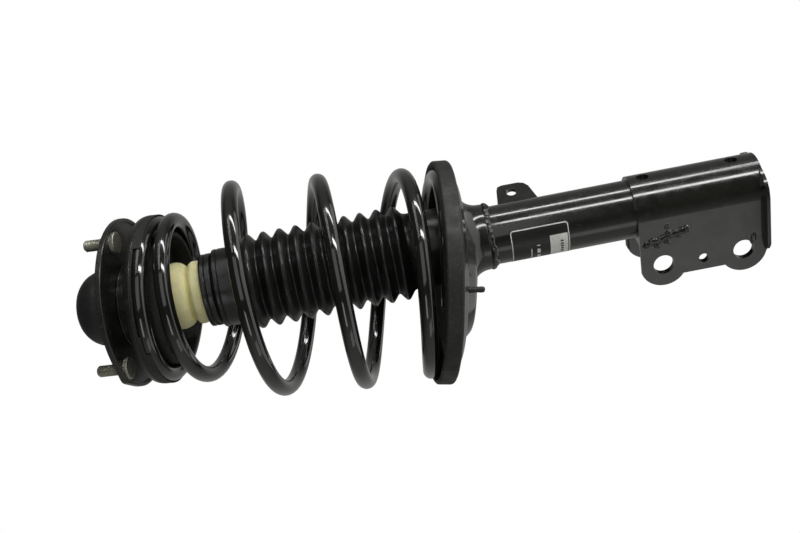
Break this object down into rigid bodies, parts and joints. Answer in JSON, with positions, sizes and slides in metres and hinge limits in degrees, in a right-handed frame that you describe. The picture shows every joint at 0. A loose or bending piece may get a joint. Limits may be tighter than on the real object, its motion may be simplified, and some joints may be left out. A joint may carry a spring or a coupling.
{
  "type": "suspension strut assembly",
  "caption": "MacPherson strut with coil spring, dust boot, bump stop, studded top mount and clamp bracket for a steering knuckle.",
  "frame": {"origin": "centre of the three-stud circle, on the top mount's seating face", "axes": "+Z along the damper axis towards the top mount, +Y along the knuckle bolts, +X from the damper axis towards the knuckle bolts"},
  "size_m": [0.2127, 0.196, 0.5953],
  "materials": {
    "gloss_black": "gloss",
    "spring_paint": "gloss",
    "satin_black": "satin",
    "cap_plastic": "matte",
    "seat_rubber": "matte",
    "boot_rubber": "satin",
    "foam": "matte",
    "zinc": "satin",
    "steel": "satin",
    "rod_chrome": "polished",
    "bronze": "satin",
    "seal_rubber": "satin",
    "label_film": "gloss"
  },
  "bodies": {
    "top_mount": {"mount_plate": "satin_black", "mount_studs": "zinc", "mount_bush": "seal_rubber", "bearing_housing": "steel", "bearing_outer_race": "steel", "dust_cap": "cap_plastic"},
    "rod_assembly": {"piston_rod": "rod_chrome", "rod_nut": "zinc", "rod_washer": "zinc", "bearing_inner_race": "steel", "bearing_balls": "rod_chrome", "bearing_cage": "bronze", "upper_spring_seat": "satin_black", "upper_insulator": "seat_rubber", "bump_stop": "foam", "rebound_stop": "seal_rubber", "piston": "steel", "piston_band": "seal_rubber", "piston_shims": "steel", "piston_nut": "zinc", "coil_spring": "spring_paint", "dust_boot": "boot_rubber"},
    "strut_body": {"damper_tube": "gloss_black", "bottom_cap": "gloss_black", "pressure_cylinder": "steel", "base_valve": "steel", "rod_guide": "steel", "guide_bush": "bronze", "oil_seal": "seal_rubber", "closing_ring": "steel", "lower_spring_seat": "gloss_black", "lower_insulator": "seat_rubber", "seat_weld": "gloss_black", "knuckle_bracket": "gloss_black", "bracket_liner": "gloss_black", "bracket_weld": "gloss_black", "hose_bracket": "gloss_black", "tube_label": "label_film"}
  },
  "joints": [
    {"name": "steer_swivel", "type": "hinge", "parent": "top_mount", "child": "rod_assembly", "pos_m": [0, 0, -0.008], "axis": [0, 0, 1], "range_deg": [-35, 35]},
    {"name": "damper_stroke", "type": "slide", "parent": "rod_assembly", "child": "strut_body", "axis": [0, 0, 1], "range_m": [0, 0.115], "stiffness_N_per_m": 28000, "springref_m": -0.02, "deforming": ["coil_spring", "dust_boot"]}
  ]
}
